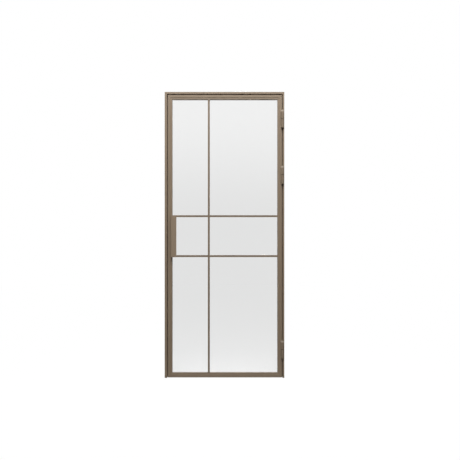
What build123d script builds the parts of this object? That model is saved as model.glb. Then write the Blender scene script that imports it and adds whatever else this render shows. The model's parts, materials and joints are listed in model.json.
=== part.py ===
from build123d import *
import os

# A glazed steel door leaf in its three-sided steel frame, all sizes in millimetres.
# X runs from the lock side to the hinge side, Y from the pull side to the back, Z up.
# The origin is on the floor, midway between the jambs, in the middle of the leaf's thickness.

os.makedirs("parts", exist_ok=True)

# Frame
frame_width = 980.0
frame_height = 2342.0
frame_depth = 60.0
frame_wall = 2.0
frame_corner_radius = 1.0
lock_face = 20.0
hinge_face = 14.0
head_face = 17.0
stop_depth = 16.0
stop_overlap = 10.5

# Gaps round the closed leaf
lock_gap = 5.5
hinge_gap = 5.5
top_gap = 8.0
floor_gap = 4.0

# Leaf frame: a tube with a glazing lip set back from its front face
leaf_depth = 40.0
tube_face = 22.0
tube_wall = 2.0
tube_corner_radius = 1.5
lip_face = 14.0
lip_thickness = 4.0
lip_recess = 3.0

# Glazing bars, T-shaped
bar_face = 15.0
bar_web = 3.0
upright_bar_offset = 335.5
cross_bar_pitch = 328.0

# Glass and what holds it
glass_thickness = 6.0
glass_play = 2.0
tape_thickness = 1.0
tape_margin = 0.5
bead_wall = 1.5
bead_recess = 1.0
bead_fit = 0.1
setting_block_length = 60.0

# Rebate seals
seal_width = 8.0
seal_edge = 0.5
seal_clearance = 0.3
seal_radius = 1.5

# Pull handles, steel angles
handle_blade = 44.0
handle_plate = 4.0
handle_projection = 40.0
handle_bend_radius = 2.0
handle_edge_radius = 1.0
front_handle_offset = 29.5
back_handle_offset = 16.0
handle_end_inset = 1.0

# Lift-off hinges of drop section, welded to the faces
hinge_length = 150.0
barrel_radius = 12.0
barrel_face_gap = 1.0
barrel_chamfer = 2.0
barrel_joint_chamfer = 0.5
upper_hinge_drop = 196.0
middle_hinge_drop = 654.5
lower_hinge_rise = 232.5
pin_radius = 5.0
pin_end_cover = 10.0
pin_top_play = 1.0
pin_fixed_clearance = 0.02
pin_running_clearance = 0.05
washer_thickness = 2.0
washer_inset = 2.5
washer_bore_clearance = 0.1

# Holes for the wall screws and the plugs that cover them
fixing_hole_radius = 4.0
fixing_access_radius = 6.5
fixing_rise = 110.0
fixing_drop = 102.0
fixing_count = 4
plug_head_radius = 8.0
plug_head_thickness = 1.2
plug_clearance = 0.3
plug_shank_length = 4.0

# Spring catch in the top rail and its strike in the head
catch_offset = 80.0
catch_plate_length = 50.0
catch_plate_width = 16.0
catch_plate_thickness = 2.0
catch_corner_radius = 3.0
plunger_radius = 4.5
plunger_engagement = 3.5
plunger_clearance = 0.3
plunger_bevel = 2.5
plunger_flange_radius = 5.7
plunger_flange_thickness = 2.0
plunger_stem_radius = 2.5
plunger_stem_length = 6.0
housing_wall = 1.2
housing_depth = 15.5
spring_wire = 1.0
spring_radius = 4.0
spring_turns = 4
strike_plate_thickness = 2.0
strike_hole_radius = 5.5
catch_screw_radius = 1.75
catch_screw_head_radius = 3.25
catch_screw_length = 10.0
catch_screw_spacing = 38.0
screw_hole_clearance = 0.1

# Planes and edges that the pieces share
frame_left = -frame_width / 2
frame_right = frame_width / 2
lock_rebate = frame_left + lock_face
hinge_rebate = frame_right - hinge_face
head_rebate = frame_height - head_face
leaf_left = lock_rebate + lock_gap
leaf_right = hinge_rebate - hinge_gap
leaf_top = head_rebate - top_gap
leaf_bottom = floor_gap
leaf_width = leaf_right - leaf_left
leaf_height = leaf_top - leaf_bottom
leaf_front = -leaf_depth / 2
leaf_back = leaf_depth / 2
frame_front = leaf_front
frame_back = frame_front + frame_depth
stop_front = frame_back - stop_depth
lock_reach = lock_face + lock_gap + stop_overlap
hinge_reach = hinge_face + hinge_gap + stop_overlap
head_reach = head_face + top_gap + stop_overlap

member_face = tube_face + lip_face
lip_front = leaf_front + lip_recess
lip_back = lip_front + lip_thickness
glass_front = lip_back + tape_thickness
glass_back = glass_front + glass_thickness
bead_front = glass_back + tape_thickness
bead_back = leaf_back - bead_recess

upright_bar_x = leaf_left + upright_bar_offset
leaf_middle = leaf_bottom + leaf_height / 2
lower_bar_z = leaf_middle - cross_bar_pitch / 2
upper_bar_z = leaf_middle + cross_bar_pitch / 2

fixing_pitch = (frame_height - fixing_rise - fixing_drop) / (fixing_count - 1)
fixing_heights = [fixing_rise + fixing_pitch * step for step in range(fixing_count)]
catch_x = leaf_left + catch_offset
hinge_heights = {
    "upper": leaf_top - upper_hinge_drop,
    "middle": leaf_top - middle_hinge_drop,
    "lower": leaf_bottom + lower_hinge_rise,
}
hinge_axis_x = (leaf_right + hinge_rebate) / 2
hinge_axis_y = leaf_front - barrel_face_gap - barrel_radius


def save(builder, label):
    """Name the finished piece and write it to its own file."""
    builder.part.label = label
    export_step(builder.part, f"parts/{label}.step")


def depth_plane(y):
    """The upright plane at depth y, facing the pull side. A negative extrusion goes towards the back."""
    return Plane.XZ.offset(-y)


def height_plane(z):
    """The level plane at height z."""
    return Plane.XY.offset(z)


def section_plane(corner, inwards, along):
    """A member's section at its first corner: towards the door's middle, then towards the back."""
    return Plane(origin=corner, x_dir=inwards, z_dir=along)


def outline_plane(section):
    """The upright plane through the same corner, in which a member's mitred outline is drawn."""
    return Plane(origin=section.origin, x_dir=section.x_dir, z_dir=(0, -1, 0))


# Frame: a hollow rebated section, mitred at the head

def rebated_outline(face, reach, inset):
    """Corners of the frame section, moved inwards by inset: the face, the rebate and the stop."""
    return [
        (inset, frame_front + inset),
        (face - inset, frame_front + inset),
        (face - inset, stop_front + inset),
        (reach - inset, stop_front + inset),
        (reach - inset, frame_back - inset),
        (inset, frame_back - inset),
    ]


def frame_member(section, face, reach, length, start, end):
    """A hollow rebated section. start and end give how far each mitre has come at the face and the stop."""
    outline = [
        (0, 0),
        (face, start[0]),
        (reach, start[1]),
        (reach, length - end[1]),
        (face, length - end[0]),
        (0, length),
    ]
    with BuildPart() as member:
        with BuildSketch(section) as profile:
            with BuildLine():
                Polyline(*rebated_outline(face, reach, 0), close=True)
            make_face()
            fillet(profile.vertices(), radius=frame_corner_radius)
            with BuildLine():
                Polyline(*rebated_outline(face, reach, frame_wall), close=True)
            make_face(mode=Mode.SUBTRACT)
        extrude(amount=length)
        with BuildSketch(outline_plane(section)):
            with BuildLine():
                Polyline(*outline, close=True)
            make_face()
        extrude(amount=frame_depth, both=True, mode=Mode.INTERSECT)
    return member


def fixing_places(rebate, turn):
    """Places of the wall screws on a jamb's rebate face, each with its mouth towards the leaf."""
    return [Location((rebate, 0, height), (0, turn, 0)) for height in fixing_heights]


square_end = (0, 0)
lock_end = (lock_face, lock_reach)
hinge_end = (hinge_face, hinge_reach)
head_end = (head_face, head_reach)
fixing_depth = max(lock_face, hinge_face) + frame_wall

with BuildPart() as lock_jamb:
    lock_corner = section_plane((frame_left, 0, 0), (1, 0, 0), (0, 0, 1))
    add(frame_member(lock_corner, lock_face, lock_reach, frame_height, square_end, head_end).part)
    with Locations(*fixing_places(lock_rebate, 90)):
        CounterBoreHole(fixing_hole_radius, fixing_access_radius, frame_wall, depth=fixing_depth)
save(lock_jamb, "lock_jamb")

with BuildPart() as hinge_jamb:
    hinge_corner = section_plane((frame_right, 0, frame_height), (-1, 0, 0), (0, 0, -1))
    add(frame_member(hinge_corner, hinge_face, hinge_reach, frame_height, head_end, square_end).part)
    with Locations(*fixing_places(hinge_rebate, -90)):
        CounterBoreHole(fixing_hole_radius, fixing_access_radius, frame_wall, depth=fixing_depth)
save(hinge_jamb, "hinge_jamb")

strike_bottom = head_rebate - strike_plate_thickness
catch_screw_xs = [catch_x - catch_screw_spacing / 2, catch_x + catch_screw_spacing / 2]

with BuildPart() as frame_head:
    head_corner = section_plane((frame_left, 0, frame_height), (0, 0, -1), (1, 0, 0))
    add(frame_member(head_corner, head_face, head_reach, frame_width, lock_end, hinge_end).part)
    with Locations(*[Location((x, 0, head_rebate), (180, 0, 0)) for x in catch_screw_xs]):
        Hole(catch_screw_radius + screw_hole_clearance, depth=frame_wall + screw_hole_clearance)
    with Locations(Location((catch_x, 0, head_rebate), (180, 0, 0))):
        Hole(strike_hole_radius, depth=frame_wall + screw_hole_clearance)
save(frame_head, "frame_head")

# Plugs that cover the wall screws

for side, rebate, turn in (("lock", lock_rebate, 90), ("hinge", hinge_rebate, -90)):
    with BuildPart() as plugs:
        with Locations(*fixing_places(rebate, turn)):
            Cylinder(plug_head_radius, plug_head_thickness, align=(Align.CENTER, Align.CENTER, Align.MIN))
            Cylinder(
                fixing_access_radius - plug_clearance,
                plug_shank_length,
                align=(Align.CENTER, Align.CENTER, Align.MAX),
            )
    save(plugs, f"{side}_jamb_plugs")

# Rebate seals on the stop, behind the leaf's edges

seal_front = leaf_back + seal_clearance
seal_depth = stop_front - seal_front
lock_seal_outer = leaf_left + seal_edge
hinge_seal_outer = leaf_right - seal_edge
head_seal_top = leaf_top - seal_edge
head_seal_bottom = head_seal_top - seal_width
for label, outer, inwards in (("lock_seal", lock_seal_outer, 1), ("hinge_seal", hinge_seal_outer, -1)):
    with BuildPart() as seal:
        with BuildSketch() as seal_profile:
            with Locations((outer + inwards * seal_width / 2, seal_front + seal_depth / 2)):
                Rectangle(seal_width, seal_depth)
            fillet(seal_profile.vertices().group_by(Axis.Y)[0], radius=seal_radius)
        extrude(amount=head_seal_bottom)
    save(seal, label)

with BuildPart() as head_seal:
    head_seal_plane = section_plane((lock_seal_outer, 0, head_seal_top), (0, 0, -1), (1, 0, 0))
    with BuildSketch(head_seal_plane) as head_seal_profile:
        with Locations((seal_width / 2, seal_front + seal_depth / 2)):
            Rectangle(seal_width, seal_depth)
        fillet(head_seal_profile.vertices().group_by(Axis.Y)[0], radius=seal_radius)
    extrude(amount=hinge_seal_outer - lock_seal_outer)
save(head_seal, "head_seal")

# Leaf frame: four mitred tubes with their glazing lips

def leaf_member(section, length):
    """A tube with a glazing lip, mitred at both ends."""
    with BuildPart() as member:
        with BuildSketch(section) as profile:
            with Locations((tube_face / 2, 0)):
                Rectangle(tube_face, leaf_depth)
            fillet(profile.vertices(), radius=tube_corner_radius)
            with Locations((tube_face + lip_face / 2, lip_front + lip_thickness / 2)):
                Rectangle(lip_face, lip_thickness)
            with Locations((tube_face / 2, 0)):
                Rectangle(tube_face - 2 * tube_wall, leaf_depth - 2 * tube_wall, mode=Mode.SUBTRACT)
        extrude(amount=length)
        with BuildSketch(outline_plane(section)):
            with BuildLine():
                Polyline(
                    (0, 0),
                    (member_face, member_face),
                    (member_face, length - member_face),
                    (0, length),
                    close=True,
                )
            make_face()
        extrude(amount=leaf_depth, both=True, mode=Mode.INTERSECT)
    return member


lock_stile = leaf_member(section_plane((leaf_left, 0, leaf_bottom), (1, 0, 0), (0, 0, 1)), leaf_height)
save(lock_stile, "lock_stile")

bottom_rail = leaf_member(section_plane((leaf_right, 0, leaf_bottom), (0, 0, 1), (-1, 0, 0)), leaf_width)
save(bottom_rail, "bottom_rail")

hinge_stile = leaf_member(section_plane((leaf_right, 0, leaf_top), (-1, 0, 0), (0, 0, -1)), leaf_height)
save(hinge_stile, "hinge_stile")

housing_bore = plunger_flange_radius + plunger_clearance
housing_radius = housing_bore + housing_wall
housing_bottom = leaf_top - housing_depth
with BuildPart() as top_rail:
    rail_corner = section_plane((leaf_left, 0, leaf_top), (0, 0, -1), (1, 0, 0))
    add(leaf_member(rail_corner, leaf_width).part)
    with Locations((catch_x, 0, leaf_top)):
        Hole(housing_radius + screw_hole_clearance, depth=tube_wall + screw_hole_clearance)
    with Locations(*[(x, 0, leaf_top) for x in catch_screw_xs]):
        Hole(catch_screw_radius + screw_hole_clearance, depth=tube_wall + screw_hole_clearance)
save(top_rail, "top_rail")

# Glazing bars: a flange level with the lips and a web between the panes

web_half = bar_web / 2
bar_half = bar_face / 2


def glazing_bar(flange_box, web_box):
    """A T-shaped bar from the two rectangles that its flange and its web cover, seen from the front."""
    with BuildPart() as bar:
        for (left, right, low, high), front, back in (
            (flange_box, lip_front, lip_back),
            (web_box, lip_back, bead_back),
        ):
            with BuildSketch(depth_plane(front)):
                with Locations(((left + right) / 2, (low + high) / 2)):
                    Rectangle(right - left, high - low)
            extrude(amount=front - back)
    return bar


light_left = leaf_left + member_face
light_right = leaf_right - member_face
light_bottom = leaf_bottom + member_face
light_top = leaf_top - member_face
seat_left = leaf_left + tube_face
seat_right = leaf_right - tube_face
seat_bottom = leaf_bottom + tube_face
seat_top = leaf_top - tube_face

upright_bar = glazing_bar(
    (upright_bar_x - bar_half, upright_bar_x + bar_half, light_bottom, light_top),
    (upright_bar_x - web_half, upright_bar_x + web_half, seat_bottom, seat_top),
)
save(upright_bar, "upright_bar")

for level, z in (("lower", lower_bar_z), ("upper", upper_bar_z)):
    left_bar = glazing_bar(
        (light_left, upright_bar_x - bar_half, z - bar_half, z + bar_half),
        (seat_left, upright_bar_x - web_half, z - web_half, z + web_half),
    )
    save(left_bar, f"{level}_left_bar")
    right_bar = glazing_bar(
        (upright_bar_x + bar_half, light_right, z - bar_half, z + bar_half),
        (upright_bar_x + web_half, seat_right, z - web_half, z + web_half),
    )
    save(right_bar, f"{level}_right_bar")

# Six panes, each with its glass, tape, beads and setting blocks

column_seats = [(seat_left, upright_bar_x - web_half), (upright_bar_x + web_half, seat_right)]
column_lights = [(light_left, upright_bar_x - bar_half), (upright_bar_x + bar_half, light_right)]
row_seats = [
    (seat_bottom, lower_bar_z - web_half),
    (lower_bar_z + web_half, upper_bar_z - web_half),
    (upper_bar_z + web_half, seat_top),
]
row_lights = [
    (light_bottom, lower_bar_z - bar_half),
    (lower_bar_z + bar_half, upper_bar_z - bar_half),
    (upper_bar_z + bar_half, light_top),
]


def corners(across, up):
    """The four corners of a rectangle, in order round it."""
    return [(across[0], up[0]), (across[1], up[0]), (across[1], up[1]), (across[0], up[1])]


def shrink(span, margin):
    """A span moved in by margin at both ends, or out where margin is negative."""
    return (span[0] + margin, span[1] - margin)


def add_rectangle(across, up, mode=Mode.ADD):
    """A rectangle of the open sketch that covers the two spans."""
    with Locations(((across[0] + across[1]) / 2, (up[0] + up[1]) / 2)):
        Rectangle(across[1] - across[0], up[1] - up[0], mode=mode)


def bead_outline(seat, light, side, wall):
    """One bead's mitred outline from the seat to the daylight edge, less wall along that edge."""
    following = (side + 1) % 4
    width = abs(light[side][1 - side % 2] - seat[side][1 - side % 2])
    share = 1 - wall / width
    inner = [
        tuple(seat[i][axis] + (light[i][axis] - seat[i][axis]) * share for axis in (0, 1))
        for i in (following, side)
    ]
    return [seat[side], seat[following], *inner]


setting_block_places = []
for column, side_name in enumerate(("left", "right")):
    for row, row_name in enumerate(("lower", "middle", "upper")):
        pane_name = f"{row_name}_{side_name}"
        seat_across, seat_up = column_seats[column], row_seats[row]
        light_across, light_up = column_lights[column], row_lights[row]

        with BuildPart() as pane:
            with BuildSketch(depth_plane(glass_front)):
                add_rectangle(shrink(seat_across, glass_play), shrink(seat_up, glass_play))
            extrude(amount=-glass_thickness)
        save(pane, f"{pane_name}_pane")

        with BuildPart() as tapes:
            for tape_front in (lip_back, glass_back):
                with BuildSketch(depth_plane(tape_front)):
                    tape_edge = glass_play + tape_margin
                    add_rectangle(shrink(seat_across, tape_edge), shrink(seat_up, tape_edge))
                    add_rectangle(
                        shrink(light_across, -tape_margin), shrink(light_up, -tape_margin), Mode.SUBTRACT
                    )
                extrude(amount=-tape_thickness)
        save(tapes, f"{pane_name}_tapes")

        seat_corners = corners(seat_across, seat_up)
        light_corners = corners(light_across, light_up)
        with BuildPart() as beads:
            for side in range(4):
                with BuildSketch(depth_plane(bead_front)):
                    with BuildLine():
                        Polyline(*bead_outline(seat_corners, light_corners, side, 0), close=True)
                    make_face()
                    offset(amount=-bead_fit, kind=Kind.INTERSECTION, mode=Mode.REPLACE)
                extrude(amount=bead_front - bead_back)
            for side in range(4):
                with BuildSketch(depth_plane(bead_front + bead_wall)):
                    with BuildLine():
                        Polyline(
                            *bead_outline(seat_corners, light_corners, side, bead_wall + bead_fit), close=True
                        )
                    make_face()
                extrude(amount=bead_front - bead_back + 2 * bead_wall, mode=Mode.SUBTRACT)
        save(beads, f"{pane_name}_beads")

        quarter = (seat_across[1] - seat_across[0]) / 4
        block_z = seat_up[0]
        for block_x in (seat_across[0] + quarter, seat_across[1] - quarter):
            setting_block_places.append((block_x, glass_front, block_z))

with BuildPart() as setting_blocks:
    with Locations(*setting_block_places):
        Box(
            setting_block_length,
            glass_thickness,
            glass_play,
            align=(Align.CENTER, Align.MIN, Align.MIN),
        )
save(setting_blocks, "setting_blocks")

# Pull handles: steel angles, the leg on the leaf and the blade over the glass

handle_length = cross_bar_pitch + bar_face - 2 * handle_end_inset


def pull_handle(offset_from_edge, root_y, outwards):
    """An angle whose leg stands at root_y and whose blade lies parallel to the leaf, outwards from it."""
    left = leaf_left + offset_from_edge
    blade_y = outwards * (leaf_depth / 2 + handle_projection)
    inner_y = blade_y - outwards * handle_plate
    with BuildPart() as handle:
        with BuildSketch(height_plane(leaf_middle - handle_length / 2)) as profile:
            with BuildLine():
                Polyline(
                    (left, root_y),
                    (left, blade_y),
                    (left + handle_blade, blade_y),
                    (left + handle_blade, inner_y),
                    (left + handle_plate, inner_y),
                    (left + handle_plate, root_y),
                    close=True,
                )
            make_face()
            bend = profile.vertices().sort_by_distance((left, blade_y))[0]
            root = profile.vertices().sort_by_distance((left + handle_plate, inner_y))[0]
            edge = profile.vertices().group_by(Axis.X)[-1]
            fillet([bend, root], radius=handle_bend_radius)
            fillet(edge, radius=handle_edge_radius)
        extrude(amount=handle_length)
    return handle


front_handle = pull_handle(front_handle_offset, lip_front, -1)
save(front_handle, "front_handle")
back_handle = pull_handle(back_handle_offset, leaf_back, 1)
save(back_handle, "back_handle")

# Hinges: a pin fixed in the frame's knuckle, a washer, and the leaf's knuckle that lifts off it

seat_inset = hinge_gap / 2 + max(tube_corner_radius, frame_corner_radius)


def knuckle(low, high, side, bore_low, bore_high, bore_radius):
    """A drop-shaped knuckle: a barrel whose nose is welded to the face on its side, bored for the pin."""
    with BuildPart() as part:
        with Locations((hinge_axis_x, hinge_axis_y, low)):
            Cylinder(barrel_radius, high - low, align=(Align.CENTER, Align.CENTER, Align.MIN))
        rims = part.edges().filter_by(GeomType.CIRCLE).sort_by(Axis.Z)
        if side > 0:
            rims.reverse()
        chamfer(rims[-1], length=barrel_chamfer)
        chamfer(rims[0], length=barrel_joint_chamfer)
        with BuildSketch(height_plane(low + barrel_chamfer)):
            with BuildLine():
                Polyline(
                    (hinge_axis_x, hinge_axis_y),
                    (hinge_axis_x + side * barrel_radius, hinge_axis_y),
                    (hinge_axis_x + side * barrel_radius, leaf_front),
                    (hinge_axis_x + side * seat_inset, leaf_front),
                    close=True,
                )
            make_face()
        extrude(amount=high - low - 2 * barrel_chamfer)
        with Locations((hinge_axis_x, hinge_axis_y, bore_high)):
            Hole(bore_radius, depth=bore_high - bore_low)
    return part


for name, height in hinge_heights.items():
    frame_low = height - hinge_length / 2
    washer_low = height - washer_thickness / 2
    washer_high = height + washer_thickness / 2
    leaf_high = height + hinge_length / 2
    pin_low = frame_low + pin_end_cover
    bore_high = leaf_high - pin_end_cover
    pin_high = bore_high - pin_top_play

    frame_knuckle = knuckle(frame_low, washer_low, 1, pin_low, washer_low, pin_radius + pin_fixed_clearance)
    save(frame_knuckle, f"{name}_hinge_frame_knuckle")

    leaf_knuckle = knuckle(washer_high, leaf_high, -1, washer_high, bore_high, pin_radius + pin_running_clearance)
    save(leaf_knuckle, f"{name}_hinge_leaf_knuckle")

    with BuildPart() as pin:
        with Locations((hinge_axis_x, hinge_axis_y, pin_low)):
            Cylinder(pin_radius, pin_high - pin_low, align=(Align.CENTER, Align.CENTER, Align.MIN))
        chamfer(pin.edges().filter_by(GeomType.CIRCLE).sort_by(Axis.Z)[-1], length=barrel_joint_chamfer)
    save(pin, f"{name}_hinge_pin")

    with BuildPart() as washer:
        with BuildSketch(height_plane(washer_low)):
            with Locations((hinge_axis_x, hinge_axis_y)):
                Circle(barrel_radius - washer_inset)
                Circle(pin_radius + washer_bore_clearance, mode=Mode.SUBTRACT)
        extrude(amount=washer_thickness)
    save(washer, f"{name}_hinge_washer")

# Spring catch in the top rail, and its strike plate under the head

plate_bottom = leaf_top
plate_top = leaf_top + catch_plate_thickness
plunger_top = strike_bottom + plunger_engagement
flange_bottom = plate_bottom - plunger_flange_thickness
spring_floor = housing_bottom + housing_wall


def catch_plate(bottom, thickness, hole_radius, screw_places):
    """A plate with rounded corners, a hole for the plunger and two countersunk screw holes."""
    with BuildPart() as plate:
        with BuildSketch(height_plane(bottom)):
            with Locations((catch_x, 0)):
                RectangleRounded(catch_plate_length, catch_plate_width, catch_corner_radius)
                Circle(hole_radius, mode=Mode.SUBTRACT)
        extrude(amount=thickness)
        with Locations(*screw_places):
            CounterSinkHole(
                catch_screw_radius + screw_hole_clearance,
                catch_screw_head_radius + screw_hole_clearance,
                depth=thickness,
                counter_sink_angle=90,
            )
    return plate


faceplate_screw_places = [Location((x, 0, plate_top)) for x in catch_screw_xs]
strike_screw_places = [Location((x, 0, strike_bottom), (180, 0, 0)) for x in catch_screw_xs]

catch_faceplate = catch_plate(
    plate_bottom, catch_plate_thickness, plunger_radius + plunger_clearance, faceplate_screw_places
)
save(catch_faceplate, "catch_faceplate")
strike_plate = catch_plate(strike_bottom, strike_plate_thickness, strike_hole_radius, strike_screw_places)
save(strike_plate, "strike_plate")

for label, places in (("catch_screws", faceplate_screw_places), ("strike_screws", strike_screw_places)):
    with BuildPart() as screws:
        with Locations(*places):
            Cylinder(catch_screw_radius, catch_screw_length, align=(Align.CENTER, Align.CENTER, Align.MAX))
            Cone(
                catch_screw_radius,
                catch_screw_head_radius,
                catch_screw_head_radius - catch_screw_radius,
                align=(Align.CENTER, Align.CENTER, Align.MAX),
            )
    save(screws, label)

with BuildPart() as catch_housing:
    with Locations((catch_x, 0, housing_bottom)):
        Cylinder(housing_radius, housing_depth, align=(Align.CENTER, Align.CENTER, Align.MIN))
    with Locations((catch_x, 0, leaf_top)):
        Hole(housing_bore, depth=leaf_top - spring_floor)
save(catch_housing, "catch_housing")

with BuildPart() as catch_plunger:
    with BuildSketch(Plane.XZ.shift_origin((catch_x, 0, 0))):
        with BuildLine():
            Polyline(
                (0, plunger_top),
                (0, flange_bottom - plunger_stem_length),
                (plunger_stem_radius, flange_bottom - plunger_stem_length),
                (plunger_stem_radius, flange_bottom),
                (plunger_flange_radius, flange_bottom),
                (plunger_flange_radius, plate_bottom),
                (plunger_radius, plate_bottom),
                (plunger_radius, plunger_top - plunger_bevel),
                (plunger_radius - plunger_bevel, plunger_top),
                close=True,
            )
        make_face()
    revolve(axis=Axis((catch_x, 0, 0), (0, 0, 1)))
save(catch_plunger, "catch_plunger")

spring_rise = flange_bottom - spring_floor - spring_wire
with BuildPart() as catch_spring:
    with BuildLine(Plane((catch_x, 0, spring_floor + spring_wire / 2))) as coil:
        Helix(pitch=spring_rise / spring_turns, height=spring_rise, radius=spring_radius)
    with BuildSketch(Plane(origin=coil.line @ 0, z_dir=coil.line % 0)):
        Rectangle(spring_wire, spring_wire)
    sweep(is_frenet=True)
save(catch_spring, "catch_spring")
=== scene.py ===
"""Finishes, small details, stage and camera for the glazed steel door in its frame."""

import json
import math

import bpy
import numpy as np
from bpy.props import FloatProperty, FloatVectorProperty, IntProperty, PointerProperty
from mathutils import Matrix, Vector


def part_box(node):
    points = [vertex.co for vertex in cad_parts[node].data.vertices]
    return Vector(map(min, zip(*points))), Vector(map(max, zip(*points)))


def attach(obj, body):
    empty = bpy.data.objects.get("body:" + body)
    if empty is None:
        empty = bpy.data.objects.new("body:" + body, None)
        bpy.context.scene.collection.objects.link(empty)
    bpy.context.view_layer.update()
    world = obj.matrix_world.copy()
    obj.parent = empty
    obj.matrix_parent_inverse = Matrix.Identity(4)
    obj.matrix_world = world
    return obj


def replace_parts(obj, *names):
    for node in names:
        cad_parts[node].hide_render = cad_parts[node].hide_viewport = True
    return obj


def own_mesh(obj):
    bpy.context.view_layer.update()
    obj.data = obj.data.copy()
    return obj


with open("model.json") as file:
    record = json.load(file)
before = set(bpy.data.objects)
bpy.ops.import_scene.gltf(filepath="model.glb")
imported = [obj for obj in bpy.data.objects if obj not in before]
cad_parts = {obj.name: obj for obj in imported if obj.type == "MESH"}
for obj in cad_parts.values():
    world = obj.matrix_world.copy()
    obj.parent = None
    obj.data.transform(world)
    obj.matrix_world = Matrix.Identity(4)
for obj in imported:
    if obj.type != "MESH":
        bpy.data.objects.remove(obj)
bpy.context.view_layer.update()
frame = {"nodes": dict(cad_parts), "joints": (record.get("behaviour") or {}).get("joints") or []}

bl_info = {
    "name": "Glazed Steel Door",
    "version": (1, 0, 0),
    "blender": (4, 5, 0),
    "location": "3D View > Sidebar > Steel Door",
    "description": "Paints, glazes and details a steel door in its frame, and lights it",
    "category": "Object",
}

NODES = frame["nodes"]
HINGES = ("upper", "middle", "lower")
WHITE = (1.0, 1.0, 1.0, 1.0)
BLOCK_BLACK = (0.03, 0.03, 0.032)
# Painted light and shade: the one paint is made lighter on the handles and darker on the bars, the beads
# behind the glass and the hinges, by these factors beside the frame's
PAINTED_LIGHT_TONES = {"handle": 1.12, "bar": 0.88, "bead": 0.8, "hinge": 0.83}


def joint(name):
    """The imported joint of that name."""
    return next(j for j in frame["joints"] if j["name"] == name)


SWING = joint("leaf_swing")
PRESS = joint("catch_press")


# Sizes and colours that a user may change

def colour(label, about, default):
    """A colour setting, in linear values."""
    return FloatVectorProperty(
        name=label, description=about, subtype="COLOR", size=3, min=0.0, max=1.0, default=default
    )


def length(label, about, default):
    """A size setting in metres."""
    return FloatProperty(
        name=label, description=about, subtype="DISTANCE", unit="LENGTH", min=0.0, default=default
    )


def share(label, about, default):
    """A setting between 0 and 1."""
    return FloatProperty(name=label, description=about, subtype="FACTOR", min=0.0, max=1.0, default=default)


def strength(label, about, default):
    """A brightness setting, 1 being white."""
    return FloatProperty(name=label, description=about, min=0.0, soft_max=4.0, default=default)


def power(label, about, default):
    """A lamp setting in watts."""
    return FloatProperty(name=label, description=about, unit="POWER", min=0.0, default=default)


class DoorFinish(bpy.types.PropertyGroup):
    """Colours and gloss of the door's surfaces."""

    paint: colour("Paint", "Grey-brown paint on all the steelwork", (0.230, 0.1745, 0.122))
    paint_roughness: share("Paint roughness", "How matt the paint is", 0.42)
    paint_grain: length("Paint grain", "Size of the dimples that the paint dried with", 0.0011)
    # Painted shade: the hinge paint turns almost black round the middle of each joint, standing in for the
    # shade in the gap between the knuckles
    joint_shade: share("Joint shade", "How dark the paint is at the hinges' joints", 0.9)
    joint_shade_reach: length("Grime reach", "How far the grime spreads from the middle of a joint", 0.0036)
    # Painted highlight: a light band of paint round the top of each hinge barrel, standing in for the light
    # that the barrel's top catches from above
    painted_highlight: colour("Painted highlight", "Paint rubbed light round the top of each hinge", (0.43, 0.365, 0.29))
    highlight_drop: length("Highlight drop", "How far the rubbed band lies below the top of a hinge", 0.0115)
    highlight_reach: length("Highlight reach", "How far the rubbed band spreads from its middle", 0.009)
    glass_tint: colour("Glass tint", "What clear glass lets through of each colour", (0.823, 0.826, 0.825))
    rubber: colour("Rubber", "Seals and glazing tape", (0.012, 0.012, 0.012))
    plastic: colour("Plugs", "Plastic plugs over the wall screws", (0.22, 0.175, 0.138))
    steel: colour("Steel", "Ground hinge pins, plunger and spring", (0.48, 0.48, 0.49))
    zinc: colour("Zinc", "Plated catch and strike", (0.34, 0.35, 0.36))
    # Painted shade in part: the tarnished brass of the washers is made this dark so that the joint between
    # the knuckles reads as a shaded line
    brass: colour("Brass", "Tarnished washers of the hinges", (0.11, 0.075, 0.035))


class DoorDetail(bpy.types.PropertyGroup):
    """Sizes of the details that are added to the solids."""

    handle_leg: length("Handle leg", "Thickness of the angle that the handles are cut from", 0.004)
    weld_leg: length("Weld leg", "Width of a weld on each of its two faces", 0.002)
    weld_ripple: length("Weld ripple", "Spacing of the ripples along a weld", 0.003)
    seal_base: length("Seal base", "Thickness of a seal between its two bulbs", 0.0013)
    wire: length("Spring wire", "Diameter of the catch spring's wire", 0.001)
    turns: IntProperty(name="Turns", description="Free turns of the catch spring", min=2, max=12, default=5)
    thread_pitch: length("Thread pitch", "Pitch of the catch screws", 0.0007)
    countersink: length("Countersink", "Depth of a screw's cone, and the overhang of its head", 0.0015)
    recess: length("Recess", "Half the length of the cross in a screw head", 0.0017)


class DoorStage(bpy.types.PropertyGroup):
    """Camera, lamps and floor."""

    camera_place: FloatVectorProperty(
        name="Camera",
        description="Where the camera stands",
        subtype="TRANSLATION",
        default=(0.045, -5.02, 1.211),
    )
    view_width: length("View width", "Width that the picture spans at the leaf's front", 3.767)
    front_power: power("Front lamp", "Power of the lamp high before the door", 410.0)
    ceiling_power: power("Ceiling lamp", "Power of the lamp over the door's front", 52.0)
    back_power: power("Back lamp", "Power of the lamp high behind the door", 380.0)
    side_power: power("Side lamps", "Power of the narrow lamp on each side of the door", 24.0)
    sky: strength("Sky", "Light from overhead", 0.2)
    gleam: strength("Gleam", "Brightness of the sky in reflections", 1.5)
    horizon: strength("Horizon", "Light from level with the door", 0.05)
    floor_tone: share("Floor tone", "How much light the floor throws back", 0.1)
    floor_glow: strength("Floor glow", "Brightness of the floor in reflections, at the door", 1.15)


# Node trees written as Python expressions

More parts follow.
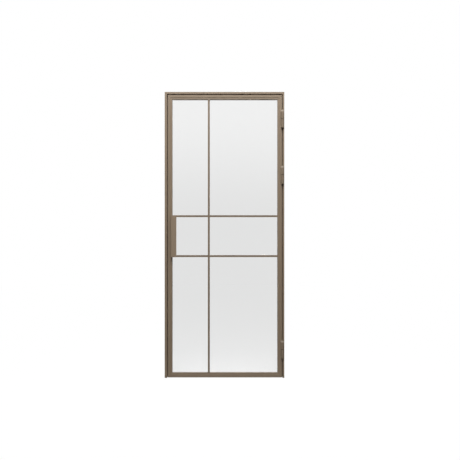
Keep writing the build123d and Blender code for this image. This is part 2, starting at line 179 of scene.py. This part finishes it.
class Wire:
    """One output socket of a node tree. Arithmetic on it adds Math nodes."""

    def __init__(self, tree, socket):
        self.tree = tree
        self.socket = socket

    def _math(self, operation, first, second):
        return self.tree.node("ShaderNodeMath", {"operation": operation}, {0: first, 1: second})

    def __add__(self, other):
        return self._math("ADD", self, other)

    __radd__ = __add__

    def __sub__(self, other):
        return self._math("SUBTRACT", self, other)

    def __rsub__(self, other):
        return self._math("SUBTRACT", other, self)

    def __mul__(self, other):
        return self._math("MULTIPLY", self, other)

    __rmul__ = __mul__

    def __rpow__(self, other):
        return self._math("POWER", other, self)

    def or_more(self, other):
        """The larger of the two values."""
        return self._math("MAXIMUM", self, other)


class Tree:
    """A node tree that starts empty."""

    def __init__(self, tree):
        self.tree = tree
        tree.nodes.clear()

    def node(self, kind, settings=None, inputs=None, output=0):
        """Adds a node: its type, then its settings, then what its sockets hold or are linked to."""
        made = self.tree.nodes.new(kind)
        for name, value in (settings or {}).items():
            setattr(made, name, value)
        for name, value in (inputs or {}).items():
            if isinstance(value, Wire):
                self.tree.links.new(value.socket, made.inputs[name])
            else:
                made.inputs[name].default_value = value
        return Wire(self, made.outputs[output] if made.outputs else None)

    def blend(self, low, high, amount):
        """A colour between two others."""
        inputs = {"Factor": amount, 6: rgba(low), 7: rgba(high)}
        return self.node("ShaderNodeMix", {"data_type": "RGBA"}, inputs, output=2)

    def varied(self, value, low, high, amount):
        """A colour whose brightness goes from low to high times its own."""
        return self.blend(shaded(value, low), shaded(value, high), amount)

    def smooth(self, value, start, end, at_start=0.0, at_end=1.0):
        """Passes smoothly from one value to another while the input goes from start to end."""
        return self.node(
            "ShaderNodeMapRange",
            {"interpolation_type": "SMOOTHSTEP"},
            {"Value": value, "From Min": start, "From Max": end, "To Min": at_start, "To Max": at_end},
        )

    def place(self, scale=(1.0, 1.0, 1.0), centre=(0.0, 0.0, 0.0)):
        """Object coordinates in metres, centred on a point and stretched."""
        here = self.node("ShaderNodeTexCoord", output="Object")
        moved = [-c * s for c, s in zip(centre, scale)]
        inputs = {"Vector": here, "Location": moved, "Scale": list(scale)}
        return self.node("ShaderNodeMapping", None, inputs)

    def noise(self, where, scale, detail=2.0, roughness=0.5):
        """Cloudy noise from 0 to 1 with that many features a metre."""
        inputs = {"Vector": where, "Scale": scale, "Detail": detail, "Roughness": roughness}
        return self.node("ShaderNodeTexNoise", None, inputs)

    def cells(self, where, scale, output=0):
        """Cells with that many a metre: the distance to the nearest middle, or the cell's own colour."""
        inputs = {"Vector": where, "Scale": scale}
        return self.node("ShaderNodeTexVoronoi", {"feature": "F1"}, inputs, output=output)

    def bump(self, height, depth, strength=1.0):
        """A bumped normal from a height of 0 to 1, that deep in metres."""
        inputs = {"Height": height, "Distance": depth, "Strength": strength}
        return self.node("ShaderNodeBump", None, inputs)


def rgba(value):
    """A colour with its alpha, or a wire as it is."""
    return value if isinstance(value, Wire) else (*value, 1.0)


def shaded(value, factor):
    """A colour made darker or lighter by a factor."""
    return tuple(min(1.0, c * factor) for c in value)


def ray(tree, kind):
    """An output of the Light Path node: 1 for rays of a kind and 0 for the rest, or a count of bounces."""
    return tree.node("ShaderNodeLightPath", output=kind)


def bare_material(name):
    """A new material and its empty tree."""
    made = bpy.data.materials.new(name)
    made.use_nodes = True
    return made, Tree(made.node_tree)


def material(name, build):
    """A material with a Principled shader. build is given the tree and returns the shader's inputs."""
    made, tree = bare_material(name)
    shader = tree.node("ShaderNodeBsdfPrincipled", None, build(tree))
    tree.node("ShaderNodeOutputMaterial", None, {"Surface": shader})
    return made


def near_levels(tree, levels, reach):
    """1 at those heights, falling smoothly to 0 at that distance above and below them."""
    full_within = 0.3 * reach
    height = tree.node("ShaderNodeSeparateXYZ", None, {"Vector": tree.place()}, output="Z")
    nearest = 0.0
    for level in levels:
        away = (height - level).or_more(level - height)
        nearest = tree.smooth(away, full_within, reach, at_start=1.0, at_end=0.0).or_more(nearest)
    return nearest


def paint_material(name, finish, tone=1.0, joints=(), highlight_levels=()):
    """Satin powder paint: a clouded tone, a fine fleck, the dimples that it dried with, painted shade at the
    heights of the joints and a painted highlight band at the heights given for it. tone makes a lighter or
    darker copy of the paint, as painted light and shade."""
    flecks_a_dimple = 2.2
    fleck_share = 0.16
    joint_shade_tone = 0.1

    def build(tree):
        where = tree.place()
        dimples_a_metre = 1.0 / finish.paint_grain
        clouds = tree.noise(where, scale=2.3, detail=3.0)
        fleck = tree.cells(where, flecks_a_dimple * dimples_a_metre)
        dimples = tree.noise(where, scale=dimples_a_metre, roughness=0.45)
        # tone makes a lighter or darker copy of the one paint for this part: painted light and shade
        body = shaded(finish.paint, tone)
        coat = tree.varied(body, 0.94, 1.06, clouds)
        coat = tree.blend(coat, shaded(body, 1.22), fleck * fleck_share)
        # Painted shade round each joint's height, where shade falls between the knuckles
        if joints:
            joint_shade = near_levels(tree, joints, finish.joint_shade_reach) * finish.joint_shade
            coat = tree.blend(coat, shaded(body, joint_shade_tone), joint_shade)
        # Painted highlight: a lighter band of paint round each given height near the top of a hinge
        if highlight_levels:
            coat = tree.blend(coat, finish.painted_highlight, near_levels(tree, highlight_levels, finish.highlight_reach))
        return {
            "Base Color": coat,
            "Roughness": finish.paint_roughness - 0.05 + clouds * 0.06 + dimples * 0.05,
            "Metallic": 0.0,
            "Specular IOR Level": 0.25,
            "Normal": tree.bump(dimples, depth=0.00006, strength=0.55),
        }

    return material(name, build)


def glass_material(finish):
    """Clear glass that lets lamps through to the floor, with a faint bow in its faces."""
    made, tree = bare_material("clear_glass")
    where = tree.place()
    waves = tree.noise(where, scale=1.6, detail=1.0)
    film = tree.noise(where, scale=6.0, detail=3.0)
    shader = tree.node(
        "ShaderNodeBsdfPrincipled",
        None,
        {
            "Base Color": rgba(finish.glass_tint),
            "Roughness": film * 0.012,
            "IOR": 1.52,
            "Transmission Weight": 1.0,
            "Normal": tree.bump(waves, depth=0.0002, strength=0.4),
        },
    )
    open_light = tree.node("ShaderNodeBsdfTransparent", None, {"Color": rgba(finish.glass_tint)})
    shadow = ray(tree, "Is Shadow Ray")
    mixed = tree.node("ShaderNodeMixShader", None, {0: shadow, 1: shader, 2: open_light})
    tree.node("ShaderNodeOutputMaterial", None, {"Surface": mixed})
    return made


def rubber_material(name, finish, tone=1.0):
    """Black rubber with a dusty bloom and a fine skin."""

    def build(tree):
        where = tree.place()
        bloom = tree.noise(where, scale=34.0, detail=4.0)
        skin = tree.noise(where, scale=2600.0)
        return {
            "Base Color": tree.varied(shaded(finish.rubber, tone), 1.0, 2.1, bloom * 0.6),
            "Roughness": 0.58 + bloom * 0.2,
            "Specular IOR Level": 0.2,
            "Normal": tree.bump(skin, depth=0.00005, strength=0.5),
        }

    return material(name, build)


def plastic_material(name, body):
    """Moulded plastic with a sparked skin."""

    def build(tree):
        where = tree.place()
        skin = tree.noise(where, scale=1900.0, detail=3.0, roughness=0.6)
        cloud = tree.noise(where, scale=60.0)
        return {
            "Base Color": tree.varied(body, 0.93, 1.07, cloud),
            "Roughness": 0.46 + skin * 0.14,
            "Normal": tree.bump(skin, depth=0.00004, strength=0.6),
        }

    return material(name, build)


def ground_material(name, body, stretch):
    """Bare ground steel, its scratches long where stretch is small."""

    def build(tree):
        scratches = tree.noise(tree.place(stretch), scale=2400.0, detail=3.0, roughness=0.6)
        haze = tree.noise(tree.place(), scale=45.0)
        return {
            "Base Color": tree.varied(body, 0.86, 1.05, scratches),
            "Metallic": 1.0,
            "Roughness": 0.2 + scratches * 0.14 + haze * 0.06,
            "Normal": tree.bump(scratches, depth=0.00001, strength=0.5),
        }

    return material(name, build)


def zinc_material(name, body):
    """Zinc plate: a cool mottled grey, a little cloudy."""
    crystals_a_metre = 380.0

    def build(tree):
        where = tree.place()
        crystals = tree.cells(where, crystals_a_metre, output="Color")
        patch = tree.node("ShaderNodeRGBToBW", None, {"Color": crystals})
        cloud = tree.noise(where, scale=150.0, detail=3.0)
        return {
            "Base Color": tree.varied(body, 0.88, 1.08, patch * 0.6 + cloud * 0.4),
            "Metallic": 1.0,
            "Roughness": 0.46 + patch * 0.1 + cloud * 0.1,
            "Normal": tree.bump(cloud, depth=0.00002, strength=0.4),
        }

    return material(name, build)


def turned_material(name, body):
    """Turned brass: rings about the hinge pin and a dull patch here and there."""
    rings_scale = 520.0

    def build(tree):
        rings = tree.node(
            "ShaderNodeTexWave",
            {"wave_type": "RINGS", "rings_direction": "Z", "wave_profile": "SAW"},
            {"Vector": tree.place(centre=SWING["pos_m"]), "Scale": rings_scale, "Distortion": 0.4},
            output=1,
        )
        tarnish = tree.noise(tree.place(), scale=90.0, detail=4.0)
        return {
            "Base Color": tree.varied(body, 1.0, 0.55, tarnish * 0.6),
            "Metallic": 1.0,
            "Roughness": 0.24 + tarnish * 0.2 + rings * 0.05,
            "Normal": tree.bump(rings, depth=0.00001, strength=0.5),
        }

    return material(name, build)


def ending_in(ending):
    """Names of the CAD nodes with that ending."""
    return [name for name in NODES if name.endswith(ending)]


def dress(names, finish):
    """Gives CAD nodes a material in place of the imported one."""
    for name in names:
        slots = NODES[name].data.materials
        slots.clear()
        slots.append(finish)


# New surfaces: grids of points worked out as whole arrays

def grid_faces(rows, columns):
    """Corners of the squares between neighbouring points of a grid whose last column joins its first."""
    across = np.arange(columns)
    down = np.arange(rows - 1)[:, None] * columns
    ahead = (across + 1) % columns
    first, second = down + across, down + ahead
    return np.stack([first, second, second + columns, first + columns], axis=-1).reshape(-1, 4)


def surface(name, sheets, finish, body):
    """One piece made of several grids of points, each closed round its columns and capped at its first and
    last row."""
    sharp_from = math.radians(40)
    points, faces, start = [], [], 0
    for sheet in sheets:
        rows, columns = sheet.shape[:2]
        points.append(sheet.reshape(-1, 3))
        faces += (grid_faces(rows, columns) + start).tolist()
        faces.append((np.arange(columns)[::-1] + start).tolist())
        faces.append((np.arange(columns) + start + (rows - 1) * columns).tolist())
        start += rows * columns
    mesh = bpy.data.meshes.new(name)
    mesh.from_pydata(np.concatenate(points).tolist(), [], faces)
    mesh.validate()
    mesh.update()
    mesh.polygons.foreach_set("use_smooth", np.full(len(mesh.polygons), True))
    mesh.materials.append(finish)
    piece = bpy.data.objects.new(name, mesh)
    bpy.context.scene.collection.objects.link(piece)
    mesh.set_sharp_from_angle(angle=sharp_from)
    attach(piece, body)
    return piece


def outward(sheet):
    """The same closed grid with its columns in the order that turns its faces outwards."""
    middle = sheet.reshape(-1, 3).mean(axis=0)
    faces = grid_faces(sheet.shape[0], sheet.shape[1])
    corner = sheet.reshape(-1, 3)[faces]
    normal = np.cross(corner[:, 2] - corner[:, 0], corner[:, 3] - corner[:, 1])
    facing = ((corner.mean(axis=1) - middle) * normal).sum()
    return sheet if facing > 0 else sheet[:, ::-1]


def seal_sheet(low, high, along, base):
    """A strip with two round bulbs on its front. Its thickness is the base plus the rest of the depth times
    the squared sine of one wave across the width. The same section stands at both ends."""
    steps = 41
    across = 0 if along == 2 else 2
    width = high[across] - low[across]
    depth = high[1] - low[1]
    step = np.linspace(0.0, 1.0, steps)
    rise = base + (depth - base) * np.sin(2.0 * math.pi * step) ** 2
    section = np.zeros((steps + 2, 3))
    section[:-2, across] = low[across] + step * width
    section[:-2, 1] = high[1] - rise
    section[-2, across] = high[across]
    section[-1, across] = low[across]
    section[-2:, 1] = high[1]
    ends = np.stack([section, section])
    ends[0, :, along] = low[along]
    ends[1, :, along] = high[along]
    return outward(ends)


def weld_sheet(corner, toward, outwards, low, high, leg, ripple):
    """A fillet weld in an upright corner. Its section is a quarter of a circle, a little smaller than the
    two equal legs that it ends on. The legs swell with a sine along the weld and shrink towards its ends."""
    rows_a_ripple = 4
    swelling = 0.05
    bulge = 0.86
    least = 0.02
    count = max(8, int((high - low) / ripple * rows_a_ripple))
    level = np.linspace(low, high, count)
    swell = 1.0 + swelling * np.sin((level - low) / ripple * 2.0 * math.pi)
    taper = np.sqrt(np.clip(np.minimum(level - low, high - level) / (2.0 * leg), least, 1.0))
    size = (leg * swell * taper)[:, None]
    turn = np.linspace(0.0, math.pi / 2.0, 7)
    side = np.append(np.cos(turn), 0.0) * bulge
    rise = np.append(np.sin(turn), 0.0) * bulge
    side[0], rise[-2] = 1.0, 1.0
    sheet = np.zeros((count, len(side), 3))
    sheet[:, :, 0] = corner[0] + toward * size * side
    sheet[:, :, 1] = corner[1] + outwards * size * rise
    sheet[:, :, 2] = level[:, None]
    return outward(sheet)


def coil_sheet(centre, low, high, radius, wire, turns):
    """Round wire on a helix. Between its flat end turns the centre line climbs, a little slower at first and
    last, and the wire's circle stands upright on it."""
    rows_a_turn = 48
    wire_sides = 12
    easing = 0.25
    all_turns = turns + 2
    around = np.linspace(0.0, 1.0, rows_a_turn * all_turns)
    turn = around * all_turns * 2.0 * math.pi
    steady = np.clip((around * all_turns - 1.0) / turns, 0.0, 1.0)
    eased = steady * steady * (3.0 - 2.0 * steady)
    climb = eased * easing + steady * (1.0 - easing)
    height = low + wire / 2.0 + climb * (high - low - wire)
    ring = np.linspace(0.0, 2.0 * math.pi, wire_sides, endpoint=False)
    reach = radius + wire / 2.0 * np.cos(ring)[None, :]
    sheet = np.zeros((len(around), len(ring), 3))
    sheet[:, :, 0] = centre[0] + reach * np.cos(turn)[:, None]
    sheet[:, :, 1] = centre[1] + reach * np.sin(turn)[:, None]
    sheet[:, :, 2] = height[:, None] + wire / 2.0 * np.sin(ring)[None, :]
    return outward(sheet)


def screw_sheet(place, up, head_radius, shank_radius, head_height, whole, pitch, cross):
    """A countersunk screw turned about its axis. From the middle of the head, the profile runs out to its
    rim, in along the countersink and down the shank to a point. The head sinks within the arms of a cross,
    and the shank's radius drops with a saw wave that climbs one pitch a turn."""
    thread_depth = 0.2
    cross_depth = 0.75
    arm_half, arm_wall, end_wall = cross * 0.24, cross * 0.12, cross * 0.25
    ring = np.linspace(0.0, 2.0 * math.pi, 48, endpoint=False)[None, :]
    round_ring = np.zeros_like(ring)
    face = np.linspace(0.02, 1.0, 14)[:, None] * head_radius
    x, y = face * np.cos(ring), face * np.sin(ring)
    beside = np.minimum(np.abs(x), np.abs(y))
    along = np.maximum(np.abs(x), np.abs(y))
    sunk = np.clip((arm_half - beside) / arm_wall, 0.0, 1.0) * np.clip((cross - along) / end_wall, 0.0, 1.0)
    face_depth = sunk * head_height * cross_depth
    sink = np.linspace(0.0, 1.0, 5)[1:, None]
    sink_radius = head_radius + (shank_radius - head_radius) * sink + round_ring
    sink_depth = head_height * sink + round_ring
    down = np.linspace(head_height, whole - shank_radius, 70)[1:, None]
    tooth = np.abs(((down / pitch - ring / (2.0 * math.pi)) % 1.0) * 2.0 - 1.0)
    shank_wide = shank_radius * (1.0 - thread_depth * tooth)
    tip_share = np.linspace(0.0, 1.0, 6)[1:, None]
    tip_wide = shank_radius * (1.0 - thread_depth) * (1.0 - 0.97 * tip_share) + round_ring
    tip_depth = whole - shank_radius * (1.0 - tip_share) + round_ring
    radius = np.concatenate([face + round_ring, sink_radius, shank_wide, tip_wide])
    depth = np.concatenate([face_depth, sink_depth, down + round_ring, tip_depth])
    sheet = np.stack([radius * np.cos(ring), radius * np.sin(ring), -depth * up], axis=-1)
    return outward(sheet + np.array(place))


# Operators: one for each group of like pieces

class PaintFrame(bpy.types.Operator):
    """Paint the two jambs and the head"""

    bl_idname = "steel_door.paint_frame"
    bl_label = "Paint Frame"

    def execute(self, context):
        coat = paint_material("frame_paint_satin", context.scene.door_finish)
        dress(["lock_jamb", "hinge_jamb", "frame_head"], coat)
        return {"FINISHED"}


class PaintLeaf(bpy.types.Operator):
    """Paint the leaf's stiles and rails"""

    bl_idname = "steel_door.paint_leaf"
    bl_label = "Paint Leaf"

    def execute(self, context):
        coat = paint_material("leaf_paint_satin", context.scene.door_finish)
        dress(["lock_stile", "hinge_stile", "top_rail", "bottom_rail"], coat)
        return {"FINISHED"}


class PaintBars(bpy.types.Operator):
    """Paint the glazing bars and the beads behind the glass"""

    bl_idname = "steel_door.paint_bars"
    bl_label = "Paint Bars and Beads"

    def execute(self, context):
        finish = context.scene.door_finish
        for part, ending in (("bar", "_bar"), ("bead", "_beads")):
            dress(ending_in(ending), paint_material(f"{part}_paint_satin", finish, PAINTED_LIGHT_TONES[part]))
        return {"FINISHED"}


class PaintHandles(bpy.types.Operator):
    """Paint both angle handles and run the welds along their feet"""

    bl_idname = "steel_door.paint_handles"
    bl_label = "Paint Handles"

    def execute(self, context):
        detail = context.scene.door_detail
        coat = paint_material("handle_paint_satin", context.scene.door_finish, PAINTED_LIGHT_TONES["handle"])
        dress(["front_handle", "back_handle"], coat)
        leg, ripple = detail.weld_leg, detail.weld_ripple
        for name, outwards in (("front", -1.0), ("back", 1.0)):
            low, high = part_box(f"{name}_handle")
            foot = high[1] if outwards < 0 else low[1]
            start, stop = low[2] + leg, high[2] - leg
            sheets = [
                weld_sheet((x, foot), toward, outwards, start, stop, leg, ripple)
                for x, toward in ((low[0], -1.0), (low[0] + detail.handle_leg, 1.0))
            ]
            surface(f"{name}_handle_welds", sheets, coat, "leaf")
        return {"FINISHED"}


class FinishHinges(bpy.types.Operator):
    """Paint the knuckles, weld them to their faces and finish the pins and washers"""

    bl_idname = "steel_door.finish_hinges"
    bl_label = "Finish Hinges"

    def execute(self, context):
        finish = context.scene.door_finish
        detail = context.scene.door_detail
        washers = [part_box(f"{h}_hinge_washer") for h in HINGES]
        # Heights of the painted shade: the middle of each washer
        joints = [(low[2] + high[2]) / 2.0 for low, high in washers]
        # Heights of the painted highlight, a set drop below the top of each leaf knuckle
        highlight_levels = [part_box(f"{h}_hinge_leaf_knuckle")[1][2] - finish.highlight_drop for h in HINGES]
        coat = paint_material("hinge_paint_satin", finish, PAINTED_LIGHT_TONES["hinge"], joints, highlight_levels)
        dress(ending_in("_knuckle"), coat)
        dress(ending_in("_hinge_pin"), ground_material("pin_steel", finish.steel, stretch=(1.0, 1.0, 0.05)))
        # The washers' brass is darkened as painted shade for the joint between the knuckles
        dress(ending_in("_hinge_washer"), turned_material("turned_brass", finish.brass))
        leg, ripple = detail.weld_leg, detail.weld_ripple
        for body, outside, toward in (("frame", 1, 1.0), ("leaf", 0, -1.0)):
            sheets = []
            for hinge in HINGES:
                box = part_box(f"{hinge}_hinge_{body}_knuckle")
                corner = (box[outside][0], box[1][1])
                start, stop = box[0][2] + 2.0 * leg, box[1][2] - 2.0 * leg
                sheets.append(weld_sheet(corner, toward, -1.0, start, stop, leg, ripple))
            surface(f"hinge_{body}_welds", sheets, coat, body)
        return {"FINISHED"}


class GlazePanes(bpy.types.Operator):
    """Glaze the six panes and finish the tape and blocks that hold them"""

    bl_idname = "steel_door.glaze_panes"
    bl_label = "Glaze Panes"

    def execute(self, context):
        finish = context.scene.door_finish
        dress(ending_in("_pane"), glass_material(finish))
        dress(ending_in("_tapes"), rubber_material("glazing_tape_foam", finish, tone=1.4))
        dress(["setting_blocks"], plastic_material("block_plastic_black", BLOCK_BLACK))
        return {"FINISHED"}


class FitSeals(bpy.types.Operator):
    """Replace the plain seals with strips that have two bulbs"""

    bl_idname = "steel_door.fit_seals"
    bl_label = "Fit Seals"

    def execute(self, context):
        rubber = rubber_material("seal_rubber_black", context.scene.door_finish)
        base = context.scene.door_detail.seal_base
        for node, along in (("lock_seal", 2), ("hinge_seal", 2), ("head_seal", 0)):
            strip = surface(
                f"{node}_strip", [seal_sheet(*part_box(node), along, base)], rubber, "frame"
            )
            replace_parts(strip, node)
        return {"FINISHED"}


class FitPlugs(bpy.types.Operator):
    """Finish the plugs over the wall screws"""

    bl_idname = "steel_door.fit_plugs"
    bl_label = "Fit Plugs"

    def execute(self, context):
        body = context.scene.door_finish.plastic
        dress(["lock_jamb_plugs", "hinge_jamb_plugs"], plastic_material("plug_plastic_brown", body))
        return {"FINISHED"}


class FitCatch(bpy.types.Operator):
    """Finish the catch and strike, and wind the spring and cut the screws anew"""

    bl_idname = "steel_door.fit_catch"
    bl_label = "Fit Catch"

    def execute(self, context):
        finish = context.scene.door_finish
        detail = context.scene.door_detail
        plate = zinc_material("catch_zinc", finish.zinc)
        bright = ground_material("catch_steel", finish.steel, stretch=(1.0, 1.0, 0.2))
        dress(["catch_faceplate", "catch_housing", "strike_plate"], plate)
        dress(["catch_plunger"], bright)

        low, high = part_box("catch_spring")
        centre = ((low[0] + high[0]) / 2.0, (low[1] + high[1]) / 2.0)
        radius = (high[0] - low[0]) / 2.0 - detail.wire / 2.0
        coil = surface(
            "catch_spring_coil",
            [coil_sheet(centre, low[2], high[2], radius, detail.wire, detail.turns)],
            bright,
            "leaf",
        )
        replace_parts(coil, "catch_spring")
        free = high[2] - low[2]
        pressed = free - PRESS["range_m"][1]
        pressed / free
        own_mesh(coil)

        for node, body, up in (("catch_screws", "leaf", 1.0), ("strike_screws", "frame", -1.0)):
            low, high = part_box(node)
            head_radius = (high[1] - low[1]) / 2.0
            shank_radius = head_radius - detail.countersink
            flat = high[2] if up > 0 else low[2]
            sheets = [
                screw_sheet(
                    (x, (low[1] + high[1]) / 2.0, flat),
                    up,
                    head_radius,
                    shank_radius,
                    detail.countersink,
                    high[2] - low[2],
                    detail.thread_pitch,
                    detail.recess,
                )
                for x in (low[0] + head_radius, high[0] - head_radius)
            ]
            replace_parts(surface(f"{node}_cut", sheets, plate, body), node)
        return {"FINISHED"}


# Stage: sky, floor and lamps

def looked_at(tree):
    """1 for what the camera sees, straight or through glass, and 0 for light and reflections, also those
    that pass through glass on their way."""
    turned_back = ray(tree, "Diffuse Depth") + ray(tree, "Glossy Depth")
    return ray(tree, "Is Camera Ray").or_more(ray(tree, "Is Transmission Ray") * (1.0 - turned_back))


def sky_world(horizon, light, gleam):
    """White where it is looked at. Otherwise it is dim at the horizon and rises to its full strength a fifth
    of the way up. That strength is light for what it shines on. In reflections it is gleam before the door,
    and about a third of gleam behind it."""
    full_height = 0.2
    full_ahead = 0.5
    behind = 0.3
    world = bpy.data.worlds.new("studio_sky")
    world.use_nodes = True
    tree = Tree(world.node_tree)
    direction = tree.node("ShaderNodeTexCoord", output="Generated")
    height = tree.node("ShaderNodeSeparateXYZ", None, {"Vector": direction}, output="Z")
    depth = tree.node("ShaderNodeSeparateXYZ", None, {"Vector": direction}, output="Y")
    rise = tree.smooth(height, 0.0, full_height)
    ahead = tree.smooth(0.0 - depth, 0.0, full_ahead, at_start=behind)
    full = ray(tree, "Is Glossy Ray") * (ahead * gleam - light) + light
    sky = tree.node("ShaderNodeBackground", None, {"Color": WHITE, "Strength": rise * full + horizon})
    white = tree.node("ShaderNodeBackground", None, {"Color": WHITE, "Strength": 1.0})
    mixed = tree.node("ShaderNodeMixShader", None, {0: looked_at(tree), 1: sky, 2: white})
    tree.node("ShaderNodeOutputWorld", None, {"Surface": mixed})
    return world


def floor_material(tone, glow):
    """A matt floor that is looked at as white, with the door's shadow left on it. In reflections it has its
    glow at the door's front, and half of that with every further metre and a fifth. Behind the door it is
    dark."""
    pale = (0.9, 0.9, 0.9)
    halving = 1.2
    edge = 0.1
    shadow_share = 0.18
    made, tree = bare_material("floor_white")
    where = tree.place()
    seen = looked_at(tree)
    matt = tree.node(
        "ShaderNodeBsdfPrincipled",
        None,
        {
            "Base Color": tree.blend((tone, tone, tone), pale, seen),
            "Roughness": 0.8 + tree.noise(where, scale=900.0) * 0.1,
            "Specular IOR Level": 0.1,
        },
    )
    away = tree.node("ShaderNodeVectorMath", {"operation": "LENGTH"}, {0: where}, output="Value")
    near = 0.5 ** (away * (1.0 / halving))
    depth = tree.node("ShaderNodeSeparateXYZ", None, {"Vector": where}, output="Y")
    ahead = tree.node("ShaderNodeMapRange", None, {"Value": 0.0 - depth, "From Max": edge})
    white, dark, glowing = (
        tree.node("ShaderNodeEmission", None, {"Color": WHITE, "Strength": level})
        for level in (1.0, 0.0, glow)
    )
    reflected = tree.node("ShaderNodeMixShader", None, {0: near * ahead, 1: dark, 2: glowing})
    lit = tree.node("ShaderNodeMixShader", None, {0: ray(tree, "Is Glossy Ray"), 1: matt, 2: reflected})
    seen_white = tree.node("ShaderNodeMixShader", None, {0: near * near * shadow_share, 1: white, 2: matt})
    mixed = tree.node("ShaderNodeMixShader", None, {0: seen, 1: lit, 2: seen_white})
    tree.node("ShaderNodeOutputMaterial", None, {"Surface": mixed})
    return made


def lamp(name, place, target, size, power):
    """A soft lamp of that width and height, which points at a place and isn't itself seen."""
    light = bpy.data.lights.new(name, "AREA")
    light.shape = "RECTANGLE"
    light.size, light.size_y = size
    light.energy = power
    made = bpy.data.objects.new(name, light)
    made.location = place
    aim = Vector(target) - Vector(place)
    made.rotation_euler = aim.to_track_quat("-Z", "Y").to_euler()
    made.visible_camera = False
    made.visible_transmission = False
    bpy.context.scene.collection.objects.link(made)


class SetStage(bpy.types.Operator):
    """Lay the floor, light the door and place the camera"""

    bl_idname = "steel_door.set_stage"
    bl_label = "Set Stage"

    def execute(self, context):
        scene = context.scene
        stage = scene.door_stage
        scene.view_settings.view_transform = "Standard"

        scene.world = sky_world(stage.horizon, stage.sky, stage.gleam)

        half = 20.0
        corners = [(-half, -half, 0.0), (half, -half, 0.0), (half, half, 0.0), (-half, half, 0.0)]
        ground = bpy.data.meshes.new("studio_floor")
        ground.from_pydata(corners, [], [(0, 1, 2, 3)])
        ground.materials.append(floor_material(stage.floor_tone, stage.floor_glow))
        floor = bpy.data.objects.new("studio_floor", ground)
        scene.collection.objects.link(floor)

        middle = (0.0, 0.0, 1.2)
        upper_part = (0.0, 0.0, 1.8)
        square, canopy, strip = (1.0, 1.0), (2.4, 2.4), (0.3, 1.5)
        lamp("front_lamp", (0.1, -6.0, 6.6), middle, square, stage.front_power)
        lamp("ceiling_lamp", (0.0, -1.2, 4.0), upper_part, canopy, stage.ceiling_power)
        lamp("back_lamp", (0.0, 6.0, 6.6), middle, square, stage.back_power)
        for name, x in (("left_lamp", -4.5), ("right_lamp", 4.5)):
            lamp(name, (x, 0.0, 2.6), middle, strip, stage.side_power)

        camera = bpy.data.cameras.new("camera")
        camera.sensor_width = 36.0
        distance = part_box("lock_stile")[0][1] - stage.camera_place[1]
        camera.lens = camera.sensor_width * distance / stage.view_width
        camera.clip_end = 100.0
        eye = bpy.data.objects.new("camera", camera)
        eye.location = stage.camera_place
        eye.rotation_euler = (math.radians(90.0), 0.0, 0.0)
        scene.collection.objects.link(eye)
        scene.camera = eye
        return {"FINISHED"}


class DoorPanel(bpy.types.Panel):
    """The door's settings and the steps that dress it."""

    bl_idname = "VIEW3D_PT_steel_door"
    bl_label = "Steel Door"
    bl_space_type = "VIEW_3D"
    bl_region_type = "UI"
    bl_category = "Steel Door"

    def draw(self, context):
        for group in (context.scene.door_finish, context.scene.door_detail, context.scene.door_stage):
            box = self.layout.box()
            for name in group.bl_rna.properties.keys():
                if name not in ("rna_type", "name"):
                    box.prop(group, name)
        for step in STEPS:
            self.layout.operator(step.bl_idname)


SETTINGS = (DoorFinish, DoorDetail, DoorStage)
STEPS = (
    PaintFrame,
    PaintLeaf,
    PaintBars,
    PaintHandles,
    FinishHinges,
    GlazePanes,
    FitSeals,
    FitPlugs,
    FitCatch,
    SetStage,
)


def register():
    """Registers the classes and puts the settings on the scene."""
    for group in (*SETTINGS, *STEPS, DoorPanel):
        bpy.utils.register_class(group)
    bpy.types.Scene.door_finish = PointerProperty(type=DoorFinish)
    bpy.types.Scene.door_detail = PointerProperty(type=DoorDetail)
    bpy.types.Scene.door_stage = PointerProperty(type=DoorStage)


def unregister():
    """Takes the settings off the scene and unregisters the classes."""
    del bpy.types.Scene.door_stage
    del bpy.types.Scene.door_detail
    del bpy.types.Scene.door_finish
    for group in reversed((*SETTINGS, *STEPS, DoorPanel)):
        bpy.utils.unregister_class(group)


def main():
    """Registers the add-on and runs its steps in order."""
    register()
    for step in STEPS:
        family, action = step.bl_idname.split(".")
        getattr(getattr(bpy.ops, family), action)()


if __name__ == "__main__":
    main()
